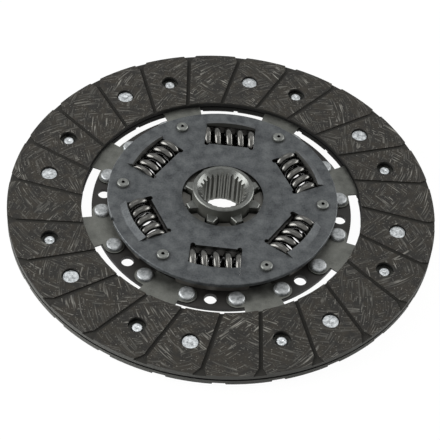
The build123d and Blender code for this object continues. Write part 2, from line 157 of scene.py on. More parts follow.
# the floor shows white, and keeps a faint shadow
floorSpec = {
    "half": 4,
    "drop": 0.0002,        # under the disc's lowest point, so that the two never share a plane
    "paper": "f4f4f2",
    "glow": 1.03, "glowShare": 0.94,
}
edge = floorSpec["half"]
floorMesh = bpy.data.meshes.new("floor")
floorMesh.from_pydata([(-edge, -edge, 0), (edge, -edge, 0), (edge, edge, 0), (-edge, edge, 0)], [],
                      [(0, 1, 2, 3)])
floor = bpy.data.objects.new("floor", floorMesh)
bpy.context.collection.objects.link(floor)
floor.location.z = cadBox[0].z - floorSpec["drop"]
floorPaper, paper = newMaterial("paperFloor")
paperShare = addNode(paper, "ShaderNodeMath", {0: seenShare(paper), 1: floorSpec["glowShare"]},
                     operation="MULTIPLY")
paperDull = addNode(paper, "ShaderNodeBsdfDiffuse", {"Color": hexToLinear(floorSpec["paper"])})
paperGlow = addNode(paper, "ShaderNodeEmission", {"Color": (1, 1, 1, 1), "Strength": floorSpec["glow"]})
paperMix = addNode(paper, "ShaderNodeMixShader", {0: paperShare.outputs[0], 1: paperDull.outputs[0],
                                                  2: paperGlow.outputs[0]})
addNode(paper, "ShaderNodeOutputMaterial", {"Surface": paperMix.outputs[0]})
floorMesh.materials.append(floorPaper)
print("camera, lamps and floor set")


def placeInMm(tree):
    # object coordinates in millimetres, and the same flattened onto the disc's plane
    place = addNode(tree, "ShaderNodeTexCoord").outputs["Object"]
    inMm = addNode(tree, "ShaderNodeVectorMath", {0: place, 1: (1 / mm,) * 3},
                   operation="MULTIPLY").outputs[0]
    axes = addNode(tree, "ShaderNodeSeparateXYZ", {0: inMm}).outputs
    flat = addNode(tree, "ShaderNodeCombineXYZ", {0: axes[0], 1: axes[1]}).outputs[0]
    return inMm, flat, axes[2]


def reachFromRing(tree, flat, ringR, count, firstAngle):
    # distance in mm to the nearest of the places spaced evenly round a circle
    axes = addNode(tree, "ShaderNodeSeparateXYZ", {0: flat}).outputs
    step = 2 * math.pi / count
    turn = addNode(tree, "ShaderNodeMath", {0: axes[1], 1: axes[0]}, operation="ARCTAN2").outputs[0]
    turn = addNode(tree, "ShaderNodeMath", {0: turn, 1: math.radians(firstAngle)},
                   operation="SUBTRACT").outputs[0]
    turn = addNode(tree, "ShaderNodeMath", {0: turn, 1: step}, operation="DIVIDE").outputs[0]
    nearest = addNode(tree, "ShaderNodeMath", {0: turn}, operation="ROUND").outputs[0]
    back = addNode(tree, "ShaderNodeMath", {0: nearest, 1: step, 2: math.radians(firstAngle)},
                   operation="MULTIPLY_ADD").outputs[0]
    centre = addNode(tree, "ShaderNodeVectorRotate", {"Vector": (ringR, 0, 0), "Angle": back},
                     rotation_type="Z_AXIS").outputs[0]
    return addNode(tree, "ShaderNodeVectorMath", {0: flat, 1: centre},
                   operation="DISTANCE").outputs["Value"]


def facingUp(tree):
    # how far the true surface faces along the disc's axis, 0 on a wall and 1 on a face
    normal = addNode(tree, "ShaderNodeNewGeometry").outputs["True Normal"]
    height = addNode(tree, "ShaderNodeSeparateXYZ", {0: normal}).outputs[2]
    return addNode(tree, "ShaderNodeMath", {0: height}, operation="ABSOLUTE").outputs[0]


liningSpec = {
    "innerR": 75.0, "outerR": 114.0, "midZ": 8.6, "faceRise": 3.35,   # mm
    "overrun": 0.4,                       # mm past the edges where the arcs would turn back
    "sweepLimit": 0.985,                  # share of the half width where the sweep stops
    "strandLean": 0.25,                   # radians of sweep from the middle to an edge
    "layers": ((1, 3.0), (-1, 47.0)),     # way a layer leans, and where its noise starts
    "strandSpacing": 1.3,                 # mm between yarns, coarser than real ones so that they show
    "strandLength": 5.0,                  # mm of radius over which a yarn shows
    "patch": 8.0,                         # mm, size of an area where one winding lies on top
    "patchSplit": (0.48, 0.52),
    # noise levels between which each tone comes in
    "strandFrom": (0.50, 0.70), "fibreFrom": (0.60, 0.70), "exposedFrom": (0.48, 0.68),
    "speckFrom": (0.7, 0.8), "speckShare": 0.45, "warmFrom": (0.4, 0.62),
    # noise features in a millimetre
    "exposedScale": 0.07, "speckScale": 1.1, "warmScale": 0.2, "lineScale": 2.2, "gritScale": 1.6,
    # mm under the face where a sunk area begins, and where it is full
    "sunk": (("groove", 0.02, 0.35), ("pocket", 1.0, 1.3)),
    "rimDepth": 0.05,                     # mm
    "ground": "282725", "groundWarm": "33302b", "strand": "4b4a46", "fibre": "8d8b84",
    # pocket is a painted shade; groove is one flat dark tone
    "groove": "2c2b28", "pocket": "111110", "rim": "62625f", "rimDark": "2e2e2c",
    "rough": 0.8, "specular": 0.2, "bump": 0.3, "bumpRise": 0.0004,
}


def makeLining(spec):
    # wound friction facing: resin-soaked glass yarn laid in crossing arcs and ground flat, so
    # short pale lengths of it break through a near-black face.
    material, tree = newMaterial("woundFrictionFacing")
    middle = (spec["innerR"] + spec["outerR"]) / 2
    half = (spec["outerR"] - spec["innerR"]) / 2 + spec["overrun"]
    inMm, flat, height = placeInMm(tree)
    radius = addNode(tree, "ShaderNodeVectorMath", {0: flat}, operation="LENGTH").outputs["Value"]
    share = addNode(tree, "ShaderNodeMath", {0: radius, 1: middle}, operation="SUBTRACT").outputs[0]
    share = addNode(tree, "ShaderNodeMath", {0: share, 1: half}, operation="DIVIDE").outputs[0]
    share = addNode(tree, "ShaderNodeClamp",
                    {"Value": share, "Min": -spec["sweepLimit"], "Max": spec["sweepLimit"]}).outputs[0]
    sweep = addNode(tree, "ShaderNodeMath", {0: share}, operation="ARCSINE").outputs[0]
    unit = addNode(tree, "ShaderNodeVectorMath", {0: flat}, operation="NORMALIZE").outputs[0]
    strands = []
    for sign, shift in spec["layers"]:
        turn = addNode(tree, "ShaderNodeMath", {0: sweep, 1: sign * spec["strandLean"]},
                       operation="MULTIPLY").outputs[0]
        spun = addNode(tree, "ShaderNodeVectorRotate", {"Vector": unit, "Angle": turn},
                       rotation_type="Z_AXIS").outputs[0]
        around = addNode(tree, "ShaderNodeVectorMath", {0: spun, 1: (middle / spec["strandSpacing"],) * 3},
                         operation="MULTIPLY").outputs[0]
        along = addNode(tree, "ShaderNodeMath", {0: radius, 1: 1 / spec["strandLength"], 2: shift},
                        operation="MULTIPLY_ADD").outputs[0]
        split = addNode(tree, "ShaderNodeSeparateXYZ", {0: around})
        where = addNode(tree, "ShaderNodeCombineXYZ",
                        {0: split.outputs[0], 1: split.outputs[1], 2: along}).outputs[0]
        yarn = addNode(tree, "ShaderNodeTexNoise",
                       {"Vector": where, "Scale": 1.0, "Detail": 1.0, "Roughness": 0.4})
        strands.append(yarn.outputs[0])
    patches = addNode(tree, "ShaderNodeTexNoise", {"Vector": inMm, "Scale": 1 / spec["patch"],
                                                   "Detail": 1.0}).outputs[0]
    onTop = addNode(tree, "ShaderNodeMapRange", {"Value": patches, "From Min": spec["patchSplit"][0],
                                                 "From Max": spec["patchSplit"][1]}).outputs[0]
    yarn = addNode(tree, "ShaderNodeMix", {"Factor": onTop, "A": strands[0], "B": strands[1]},
                   data_type="FLOAT").outputs[0]
    tone = addNode(tree, "ShaderNodeMapRange",
                   {"Value": yarn, "From Min": spec["strandFrom"][0], "From Max": spec["strandFrom"][1]},
                   interpolation_type="SMOOTHSTEP").outputs[0]
    bright = addNode(tree, "ShaderNodeMapRange", {"Value": yarn, "From Min": spec["fibreFrom"][0],
                                                  "From Max": spec["fibreFrom"][1]}).outputs[0]
    exposed = addNode(tree, "ShaderNodeTexNoise",
                      {"Vector": inMm, "Scale": spec["exposedScale"], "Detail": 3.0}).outputs[0]
    exposed = addNode(tree, "ShaderNodeMapRange", {"Value": exposed, "From Min": spec["exposedFrom"][0],
                                                   "From Max": spec["exposedFrom"][1]}).outputs[0]
    bright = addNode(tree, "ShaderNodeMath", {0: bright, 1: exposed}, operation="MULTIPLY").outputs[0]
    specks = addNode(tree, "ShaderNodeTexNoise",
                     {"Vector": inMm, "Scale": spec["speckScale"], "Detail": 0.0}).outputs[0]
    specks = addNode(tree, "ShaderNodeMapRange", {"Value": specks, "From Min": spec["speckFrom"][0],
                                                  "From Max": spec["speckFrom"][1],
                                                  "To Max": spec["speckShare"]}).outputs[0]
    bright = addNode(tree, "ShaderNodeMath", {0: bright, 1: specks}, operation="MAXIMUM").outputs[0]
    warm = addNode(tree, "ShaderNodeTexNoise",
                   {"Vector": inMm, "Scale": spec["warmScale"], "Detail": 3.0}).outputs[0]
    warm = addNode(tree, "ShaderNodeMapRange", {"Value": warm, "From Min": spec["warmFrom"][0],
                                                "From Max": spec["warmFrom"][1]}).outputs[0]
    ground = addNode(tree, "ShaderNodeMix", {"Factor": warm, "A": hexToLinear(spec["ground"]),
                                             "B": hexToLinear(spec["groundWarm"])}, data_type="RGBA")
    face = addNode(tree, "ShaderNodeMix", {"Factor": tone, "A": ground.outputs["Result"],
                                           "B": hexToLinear(spec["strand"])}, data_type="RGBA")
    face = addNode(tree, "ShaderNodeMix", {"Factor": bright, "A": face.outputs["Result"],
                                           "B": hexToLinear(spec["fibre"])}, data_type="RGBA")
    # the groove floors take one flat dark tone, and the pockets are painted near-black as their shade
    rise = addNode(tree, "ShaderNodeMath", {0: height, 1: spec["midZ"]}, operation="SUBTRACT").outputs[0]
    rise = addNode(tree, "ShaderNodeMath", {0: rise}, operation="ABSOLUTE").outputs[0]
    for title, start, end in spec["sunk"]:
        sunk = addNode(tree, "ShaderNodeMapRange", {"Value": rise, "From Min": spec["faceRise"] - start,
                                                    "From Max": spec["faceRise"] - end}).outputs[0]
        face = addNode(tree, "ShaderNodeMix", {"Factor": sunk, "A": face.outputs["Result"],
                                               "B": hexToLinear(spec[title])}, data_type="RGBA")
    # the turned rim has fine paler lines round it
    lines = addNode(tree, "ShaderNodeCombineXYZ", {2: height}).outputs[0]
    lines = addNode(tree, "ShaderNodeTexNoise",
                    {"Vector": lines, "Scale": spec["lineScale"], "Detail": 2.0}).outputs[0]
    rim = addNode(tree, "ShaderNodeMix", {"Factor": lines, "A": hexToLinear(spec["rimDark"]),
                                          "B": hexToLinear(spec["rim"])}, data_type="RGBA")
    edge = addNode(tree, "ShaderNodeMath", {0: radius, 1: spec["outerR"] - spec["rimDepth"]},
                   operation="GREATER_THAN").outputs[0]
    colour = addNode(tree, "ShaderNodeMix", {"Factor": edge, "A": face.outputs["Result"],
                                             "B": rim.outputs["Result"]}, data_type="RGBA")
    grit = addNode(tree, "ShaderNodeTexNoise",
                   {"Vector": inMm, "Scale": spec["gritScale"], "Detail": 3.0}).outputs[0]
    relief = addNode(tree, "ShaderNodeMath", {0: yarn, 1: grit}, operation="ADD").outputs[0]
    bump = addNode(tree, "ShaderNodeBump",
                   {"Height": relief, "Strength": spec["bump"], "Distance": spec["bumpRise"]}).outputs[0]
    shader = addNode(tree, "ShaderNodeBsdfPrincipled", {
        "Base Color": colour.outputs["Result"], "Metallic": 0.0, "Roughness": spec["rough"], "Normal": bump,
        "Specular IOR Level": spec["specular"]})
    addNode(tree, "ShaderNodeOutputMaterial", {"Surface": shader.outputs[0]})
    return material


# mottle and grain are sizes in mm. wall paints the upright faces between wallFrom and wallTo in one set
# colour, which is painted shade on the sheets and a set grey for the light on the forging; bore paints those
# within a radius lighter as painted light, and slope smooths the bevels within one. throat darkens towards
# the axis, and inner is painted light that grows towards it. shadeRing is a painted shade round a circle of
# heads or holes: (circle radius, count, first angle, full, gone).
metalSpecs = {
    # phosphated sheet: blue-grey, cloudy and without clear reflections; the upright faces of its windows,
    # holes and opening are painted dark as shade, a painted shadow rings each stop rivet, and it darkens
    # towards the centre opening
    "phosphatedSheet": {"low": "2b2e31", "high": "5a5d5e", "mottle": 6.0, "grain": 0.9, "metallic": 0.6,
                        "rough": (0.42, 0.58), "bump": 0.03, "wall": "1e1e1b", "wallBelow": 0.7,
                        "wallTo": 58.0, "throat": (21.7, 25.3, 0.15),
                        "shadeRing": (53.3, 6, 0.0, 3.3, 4.6), "shadeAmount": 0.45},
    # tempered spring-steel strip: greenish grey; its upright edges are painted dark as shade, and round the
    # lining rivets it is painted near-black as the shade in their pockets
    "temperedStrip": {"low": "4a4b47", "high": "6e6f6a", "mottle": 6.0, "grain": 0.4, "metallic": 0.7,
                      "rough": (0.35, 0.5), "bump": 0.03, "wall": "23231f", "wallBelow": 0.6,
                      "shadeRing": (94.5, 8, 23.6, 3.0, 4.6), "shadeAmount": 0.95},
    # blackened sheet: oxide black with a brown cast and little shine
    "blackenedSheet": {"low": "1b1a19", "high": "2c2a27", "mottle": 7.0, "grain": 0.5, "metallic": 0.4,
                       "rough": (0.45, 0.65), "bump": 0.04},
    # machined forging: steel grey, with a bevel round the broached bore that glints; the bore's walls carry
    # painted light, and the upright faces outside the barrel are painted one set grey for the light on them
    "machinedForging": {"low": "4b4c49", "high": "666865", "mottle": 2.5, "grain": 0.6, "metallic": 0.6,
                        "rough": (0.34, 0.46), "bump": 0.04, "wall": "5c5d58", "wallBelow": 0.3,
                        "wallFrom": 14.6, "bore": (12.9, "83847f"), "slope": (14.4, 0.27)},
    # heat-treated flange steel: brown-grey scale, painted lighter towards the hub as light in the gaps
    # between the hub's teeth
    "scaledSteel": {"low": "403e3a", "high": "55524e", "mottle": 3.5, "grain": 0.4, "metallic": 0.5,
                    "rough": (0.4, 0.6), "bump": 0.05, "inner": (22.0, 25.0, "5d5c58")},
    # moulded glass-filled nylon: dark grey and matt
    "filledNylon": {"low": "474643", "high": "5a5854", "mottle": 4.0, "grain": 0.5, "metallic": 0.0,
                    "rough": (0.5, 0.65), "bump": 0.03},
    # drawn spring wire, oiled: smooth and glossy under a thin film; the wire's side that faces the coil's
    # axis is painted black as shade
    "oiledSpringWire": {"low": "4d4d4b", "high": "605f5c", "mottle": 2.5, "grain": 0.6, "metallic": 1.0,
                        "rough": (0.22, 0.27), "bump": 0.0, "marked": ("insideShade", "0b0b0a")},
    # zinc-plated rivet, rolled over: pale and cloudy, with dents that catch the light
    "zincPlate": {"low": "666a6c", "high": "e8ecee", "mottle": 1.5, "grain": 0.7, "metallic": 0.85,
                  "rough": (0.24, 0.48), "bump": 0.2},
    # the same plate on a head sunk in its pocket, painted less bright as the pocket's shade
    "pocketShadedZinc": {"low": "5c6062", "high": "dadee0", "mottle": 1.8, "grain": 0.8, "metallic": 0.85,
                 "rough": (0.26, 0.5), "bump": 0.2},
    # zinc plate dulled by handling
    "dullZinc": {"low": "686b6c", "high": "b6b9ba", "mottle": 2.2, "grain": 0.8, "metallic": 0.8,
                 "rough": (0.4, 0.6), "bump": 0.1},
    # plain upset steel: dull grey, smeared by the riveting tool; its centre hole is painted black as shade
    "upsetSteel": {"low": "545653", "high": "7a7c79", "mottle": 1.3, "grain": 0.4, "metallic": 0.8,
                   "rough": (0.34, 0.5), "bump": 0.05, "marked": ("hollowShade", "0b0b0a")},
}


finishRules = {
    "grainShare": 0.3,                    # of the fine noise in the mottle
    "contrast": (0.32, 0.68),             # noise levels at the low and the high colour
    "roughFrom": (0.3, 0.7),              # noise levels at the two roughnesses
    # the colour of the painted shade round rivets, and of the darkening towards the centre opening
    "darkTone": "0f0f0e",
    "farOut": 200.0,                      # mm, past any wall
    "boreBelow": 0.3,                     # a wall of the bore faces up less than this
    "slopeAt": 0.7, "slopeWidth": 0.15,   # how far up a bevel faces
    "bumpGain": 4, "bumpRise": 0.0001,
}


def makeFinish(name, spec, rules):
    # a mottled metal or plastic, with whatever the spec adds to it
    material, tree = newMaterial(name)
    inMm, flat = placeInMm(tree)[:2]
    mottle = addNode(tree, "ShaderNodeTexNoise", {
        "Vector": inMm, "Scale": 1 / spec["mottle"], "Detail": 4.0, "Roughness": 0.6}).outputs[0]
    grain = addNode(tree, "ShaderNodeTexNoise", {"Vector": inMm, "Scale": 1 / spec["grain"],
                                                 "Detail": 2.0}).outputs[0]
    blend = addNode(tree, "ShaderNodeMix", {"Factor": rules["grainShare"], "A": mottle, "B": grain},
                    data_type="FLOAT").outputs[0]
    blend = addNode(tree, "ShaderNodeMapRange", {"Value": blend, "From Min": rules["contrast"][0],
                                                 "From Max": rules["contrast"][1]}).outputs[0]
    colour = addNode(tree, "ShaderNodeMix", {
        "Factor": blend, "A": hexToLinear(spec["low"]), "B": hexToLinear(spec["high"])},
        data_type="RGBA").outputs["Result"]
    radius = addNode(tree, "ShaderNodeVectorMath", {0: flat}, operation="LENGTH").outputs["Value"]
    if "throat" in spec:
        start, end, shade = spec["throat"]
        throat = addNode(tree, "ShaderNodeMapRange", {"Value": radius, "From Min": start, "From Max": end,
                                                      "To Min": shade, "To Max": 0.0}).outputs[0]
        colour = addNode(tree, "ShaderNodeMix",
                         {"Factor": throat, "A": colour, "B": hexToLinear(rules["darkTone"])},
                         data_type="RGBA").outputs["Result"]
    # painted light, growing towards the hub
    if "inner" in spec:
        start, end, shade = spec["inner"]
        inner = addNode(tree, "ShaderNodeMapRange",
                        {"Value": radius, "From Min": end, "From Max": start}).outputs[0]
        colour = addNode(tree, "ShaderNodeMix", {"Factor": inner, "A": colour, "B": hexToLinear(shade)},
                         data_type="RGBA").outputs["Result"]
    # upright faces take one set colour: painted shade on the sheets, a set grey for the light on the forging
    if "wall" in spec:
        wall = addNode(tree, "ShaderNodeMath", {0: facingUp(tree), 1: spec["wallBelow"]},
                       operation="LESS_THAN").outputs[0]
        inReach = addNode(tree, "ShaderNodeMath", {0: radius, 1: spec.get("wallTo", rules["farOut"])},
                          operation="LESS_THAN").outputs[0]
        wall = addNode(tree, "ShaderNodeMath", {0: wall, 1: inReach}, operation="MINIMUM").outputs[0]
        beyond = addNode(tree, "ShaderNodeMath", {0: radius, 1: spec.get("wallFrom", 0.0)},
                         operation="GREATER_THAN").outputs[0]
        wall = addNode(tree, "ShaderNodeMath", {0: wall, 1: beyond}, operation="MINIMUM").outputs[0]
        colour = addNode(tree, "ShaderNodeMix",
                         {"Factor": wall, "A": colour, "B": hexToLinear(spec["wall"])},
                         data_type="RGBA").outputs["Result"]
    # the bore's upright faces take a lighter colour as painted light
    if "bore" in spec:
        end, shade = spec["bore"]
        bore = addNode(tree, "ShaderNodeMath", {0: facingUp(tree), 1: rules["boreBelow"]},
                       operation="LESS_THAN").outputs[0]
        within = addNode(tree, "ShaderNodeMath", {0: radius, 1: end}, operation="LESS_THAN").outputs[0]
        bore = addNode(tree, "ShaderNodeMath", {0: bore, 1: within}, operation="MULTIPLY").outputs[0]
        colour = addNode(tree, "ShaderNodeMix", {"Factor": bore, "A": colour, "B": hexToLinear(shade)},
                         data_type="RGBA").outputs["Result"]
    # painted shade round each head or hole on a circle
    if "shadeRing" in spec:
        ringR, count, firstAngle, full, gone = spec["shadeRing"]
        reach = reachFromRing(tree, flat, ringR, count, firstAngle)
        ringShade = addNode(tree, "ShaderNodeMapRange", {"Value": reach, "From Min": gone, "From Max": full,
                                                    "To Max": spec["shadeAmount"]}).outputs[0]
        colour = addNode(tree, "ShaderNodeMix",
                         {"Factor": ringShade, "A": colour, "B": hexToLinear(rules["darkTone"])},
                         data_type="RGBA").outputs["Result"]
    # a stored mask painted in a set dark colour: painted shade on the coil wire and in the rivets' centre
    # holes
    if "marked" in spec:
        title, dark = spec["marked"]
        mark = addNode(tree, "ShaderNodeAttribute", attribute_name=title).outputs["Fac"]
        colour = addNode(tree, "ShaderNodeMix", {"Factor": mark, "A": colour, "B": hexToLinear(dark)},
                         data_type="RGBA").outputs["Result"]
    rough = addNode(tree, "ShaderNodeMapRange", {
        "Value": mottle, "From Min": rules["roughFrom"][0], "From Max": rules["roughFrom"][1],
        "To Min": spec["rough"][0], "To Max": spec["rough"][1]}).outputs[0]
    if "slope" in spec:
        end, smooth = spec["slope"]
        slope = addNode(tree, "ShaderNodeMath", {0: facingUp(tree), 1: rules["slopeAt"],
                                                 2: rules["slopeWidth"]}, operation="COMPARE").outputs[0]
        within = addNode(tree, "ShaderNodeMath", {0: radius, 1: end}, operation="LESS_THAN").outputs[0]
        slope = addNode(tree, "ShaderNodeMath", {0: slope, 1: within}, operation="MULTIPLY").outputs[0]
        rough = addNode(tree, "ShaderNodeMix", {"Factor": slope, "A": rough, "B": smooth},
                        data_type="FLOAT").outputs[0]
    shader = addNode(tree, "ShaderNodeBsdfPrincipled", {
        "Base Color": colour, "Metallic": spec["metallic"], "Roughness": rough})
    if spec["bump"]:
        bump = addNode(tree, "ShaderNodeBump", {
            "Height": grain, "Strength": spec["bump"] * rules["bumpGain"],
            "Distance": rules["bumpRise"]}).outputs[0]
        tree.links.new(bump, shader.inputs["Normal"])
    addNode(tree, "ShaderNodeOutputMaterial", {"Surface": shader.outputs[0]})
    return material


finishes = {name: makeFinish(name, spec, finishRules) for name, spec in metalSpecs.items()}
finishes["woundFrictionFacing"] = makeLining(liningSpec)

nodeFinishes = {
    "front_lining": "woundFrictionFacing", "rear_lining": "woundFrictionFacing",
    "driven_plate": "blackenedSheet", "cover_plate": "phosphatedSheet",
    "hub_flange": "scaledSteel", "hub": "machinedForging",
    "friction_ring": "filledNylon", "guide_bush": "filledNylon", "disc_spring": "temperedStrip",
}
for name, finish in nodeFinishes.items():
    dress([name], finishes[finish])
dress([name for name in nodes if name.startswith("cushion_segment")], finishes["temperedStrip"])
print("finishes made:", len(finishes))


def newTree(name, floats, whole):
    # an empty Geometry Nodes tree with its named inputs
    tree = bpy.data.node_groups.new(name, "GeometryNodeTree")
    face = tree.interface
    face.new_socket("Geometry", in_out="INPUT", socket_type="NodeSocketGeometry")
    for title in floats:
        face.new_socket(title, in_out="INPUT", socket_type="NodeSocketFloat")
    for title in whole:
        face.new_socket(title, in_out="INPUT", socket_type="NodeSocketInt")
    face.new_socket("Finish", in_out="INPUT", socket_type="NodeSocketMaterial")
    face.new_socket("Geometry", in_out="OUTPUT", socket_type="NodeSocketGeometry")
    return tree, addNode(tree, "NodeGroupInput").outputs


def meshFromTree(name, tree, values, points=(), edges=()):
    # evaluates a tree on a small starting mesh and keeps the result as a plain mesh object
    start = bpy.data.meshes.new(name + "Start")
    start.from_pydata(points, edges, [])
    holder = bpy.data.objects.new(name + "Holder", start)
    bpy.context.collection.objects.link(holder)
    modifier = holder.modifiers.new("build", "NODES")
    modifier.node_group = tree
    for item in tree.interface.items_tree:
        if item.in_out == "INPUT" and item.name in values:
            modifier[item.identifier] = values[item.name]
    graph = bpy.context.evaluated_depsgraph_get()
    mesh = bpy.data.meshes.new_from_object(holder.evaluated_get(graph))
    mesh.name = name
    bpy.data.objects.remove(holder)
    piece = bpy.data.objects.new(name, mesh)
    bpy.context.collection.objects.link(piece)
    return piece


def finishTree(tree, geometry, finish):
    # the end of every tree: plain geometry with its finish on
    real = addNode(tree, "GeometryNodeRealizeInstances", {"Geometry": geometry})
    painted = addNode(tree, "GeometryNodeSetMaterial", {"Geometry": real.outputs[0], "Material": finish})
    addNode(tree, "NodeGroupOutput", {0: painted.outputs[0]})


springSpec = {
    # mm; the coil is slim enough to turn in its windows without touching their outer edges
    "coilR": 6.0, "wireR": 1.95, "length": 26.9,
    "closedTurns": 0.93, "closedPitch": 4.0, "openPitch": 6.3,
    "tipT": 0.98,                         # mm left of the wire's ground tip
    "topTurn": 0.52,                      # turn where the wire first passes the top
    "brokenEdge": 0.5,                    # mm off the coil's outer corner at each ground end
    "insideFrom": (0.15, -0.35),          # how far outward the wire faces, from lit to dark
    "pointsPerTurn": 48, "wireSides": 20,
    "circleR": 44.5, "midZ": 11.525,
    "firstAngle": 30.0, "count": 6,
    "keep": 0.80,                         # length left at the damper's limit
}


def makeSpringTree():
    # a helix between two closed turns with ground ends, lying along one window
    tree, given = newTree("damperSpring", (
        "Coil radius", "Wire radius", "Length", "Tip height", "Closed turns", "Closed rise", "Open turns",
        "Open rise", "Top turn", "Broken edge", "Lit from", "Dark from", "Circle radius", "Mid height",
        "Window angle"), ("Points", "Wire sides"))
    line = addNode(tree, "GeometryNodeMeshLine", {"Count": given["Points"]})
    index = addNode(tree, "GeometryNodeInputIndex").outputs[0]
    last = addNode(tree, "ShaderNodeMath", {0: given["Points"], 1: 1.0}, operation="SUBTRACT").outputs[0]
    beforeEnd = addNode(tree, "ShaderNodeMath", {0: given["Closed turns"], 1: given["Open turns"]},
                        operation="ADD").outputs[0]
    allTurns = addNode(tree, "ShaderNodeMath", {0: beforeEnd, 1: given["Closed turns"]},
                       operation="ADD").outputs[0]
    turn = addNode(tree, "ShaderNodeMapRange",
                   {"Value": index, "From Max": last, "To Max": allTurns}).outputs[0]
    firstRise = addNode(tree, "ShaderNodeMapRange", {
        "Value": turn, "From Max": given["Closed turns"], "To Max": given["Closed rise"]}).outputs[0]
    openRise = addNode(tree, "ShaderNodeMapRange", {
        "Value": turn, "From Min": given["Closed turns"], "From Max": beforeEnd,
        "To Max": given["Open rise"]}).outputs[0]
    lastRise = addNode(tree, "ShaderNodeMapRange", {
        "Value": turn, "From Min": beforeEnd, "From Max": allTurns,
        "To Max": given["Closed rise"]}).outputs[0]
    rise = addNode(tree, "ShaderNodeMath", {0: firstRise, 1: openRise}, operation="ADD").outputs[0]
    rise = addNode(tree, "ShaderNodeMath", {0: rise, 1: lastRise}, operation="ADD").outputs[0]
    rise = addNode(tree, "ShaderNodeMath", {0: rise, 1: given["Tip height"]}, operation="ADD").outputs[0]
    angle = addNode(tree, "ShaderNodeMath", {0: turn, 1: given["Top turn"]},
                    operation="SUBTRACT").outputs[0]
    angle = addNode(tree, "ShaderNodeMath", {0: angle, 1: 2 * math.pi, 2: math.pi / 2},
                    operation="MULTIPLY_ADD").outputs[0]
    arm = addNode(tree, "ShaderNodeCombineXYZ", {0: given["Coil radius"], 2: rise}).outputs[0]
    spot = addNode(tree, "ShaderNodeVectorRotate", {"Vector": arm, "Angle": angle}, rotation_type="Z_AXIS")
    wound = addNode(tree, "GeometryNodeSetPosition",
                    {"Geometry": line.outputs[0], "Position": spot.outputs[0]})
    path = addNode(tree, "GeometryNodeMeshToCurve", {"Mesh": wound.outputs[0]})
    ring = addNode(tree, "GeometryNodeCurvePrimitiveCircle", {"Resolution": given["Wire sides"],
                                                              "Radius": given["Wire radius"]})
    wire = addNode(tree, "GeometryNodeCurveToMesh", {
        "Curve": path.outputs[0], "Profile Curve": ring.outputs[0], "Fill Caps": True})
    # grind the ends flat, and break their outer edge
    here = addNode(tree, "ShaderNodeSeparateXYZ",
                   {0: addNode(tree, "GeometryNodeInputPosition").outputs[0]})
    level = addNode(tree, "ShaderNodeClamp",
                    {"Value": here.outputs[2], "Min": 0.0, "Max": given["Length"]}).outputs[0]
    fromEnd = addNode(tree, "ShaderNodeMath", {0: given["Length"], 1: level},
                      operation="SUBTRACT").outputs[0]
    fromEnd = addNode(tree, "ShaderNodeMath", {0: level, 1: fromEnd}, operation="MINIMUM").outputs[0]
    reach = addNode(tree, "ShaderNodeMath", {0: given["Coil radius"], 1: given["Wire radius"]},
                    operation="ADD").outputs[0]
    reach = addNode(tree, "ShaderNodeMath", {0: reach, 1: given["Broken edge"]},
                    operation="SUBTRACT").outputs[0]
    reach = addNode(tree, "ShaderNodeMath", {0: reach, 1: fromEnd}, operation="ADD").outputs[0]
    arm = addNode(tree, "ShaderNodeCombineXYZ", {0: here.outputs[0], 1: here.outputs[1]}).outputs[0]
    outward = addNode(tree, "ShaderNodeVectorMath", {0: arm}, operation="NORMALIZE").outputs[0]
    out = addNode(tree, "ShaderNodeVectorMath", {0: arm}, operation="LENGTH").outputs["Value"]
    out = addNode(tree, "ShaderNodeMath", {0: out, 1: reach}, operation="MINIMUM").outputs[0]
    spread = addNode(tree, "ShaderNodeCombineXYZ", {0: out, 1: out, 2: 1.0}).outputs[0]
    rim = addNode(tree, "ShaderNodeVectorMath", {0: outward, 1: spread}, operation="MULTIPLY").outputs[0]
    lift = addNode(tree, "ShaderNodeCombineXYZ", {2: level}).outputs[0]
    ground = addNode(tree, "ShaderNodeVectorMath", {0: rim, 1: lift}, operation="ADD").outputs[0]
    flat = addNode(tree, "GeometryNodeSetPosition", {"Geometry": wire.outputs[0], "Position": ground})
    # mark the side of the wire that faces the coil's own axis, which the finish paints black as shade
    facing = addNode(tree, "GeometryNodeInputNormal").outputs[0]
    facing = addNode(tree, "ShaderNodeVectorMath", {0: facing, 1: outward},
                     operation="DOT_PRODUCT").outputs["Value"]
    insideShade = addNode(tree, "ShaderNodeMapRange", {"Value": facing, "From Min": given["Lit from"],
                                                  "From Max": given["Dark from"]}).outputs[0]
    marked = addNode(tree, "GeometryNodeStoreNamedAttribute", {
        "Geometry": flat.outputs[0], "Name": "insideShade", "Value": insideShade}, data_type="FLOAT", domain="POINT")
    # lay it down, centre it on its window, and turn it round the axis
    middle = addNode(tree, "ShaderNodeMath", {0: given["Length"], 1: -0.5}, operation="MULTIPLY").outputs[0]
    offset = addNode(tree, "ShaderNodeCombineXYZ", {2: middle}).outputs[0]
    centred = addNode(tree, "GeometryNodeTransform", {"Geometry": marked.outputs[0], "Translation": offset})
    seat = addNode(tree, "ShaderNodeCombineXYZ",
                   {0: given["Circle radius"], 2: given["Mid height"]}).outputs[0]
    lying = addNode(tree, "GeometryNodeTransform", {"Geometry": centred.outputs[0], "Translation": seat,
                                                    "Rotation": (math.pi / 2, 0.0, 0.0)})
    spin = addNode(tree, "ShaderNodeCombineXYZ", {2: given["Window angle"]}).outputs[0]
    placed = addNode(tree, "GeometryNodeTransform", {"Geometry": lying.outputs[0], "Rotation": spin})
    small = addNode(tree, "GeometryNodeTransform", {"Geometry": placed.outputs[0], "Scale": (mm, mm, mm)})
    smooth = addNode(tree, "GeometryNodeSetShadeSmooth",
                     {"Geometry": small.outputs[0], "Shade Smooth": True})
    finishTree(tree, smooth.outputs[0], given["Finish"])
    return tree


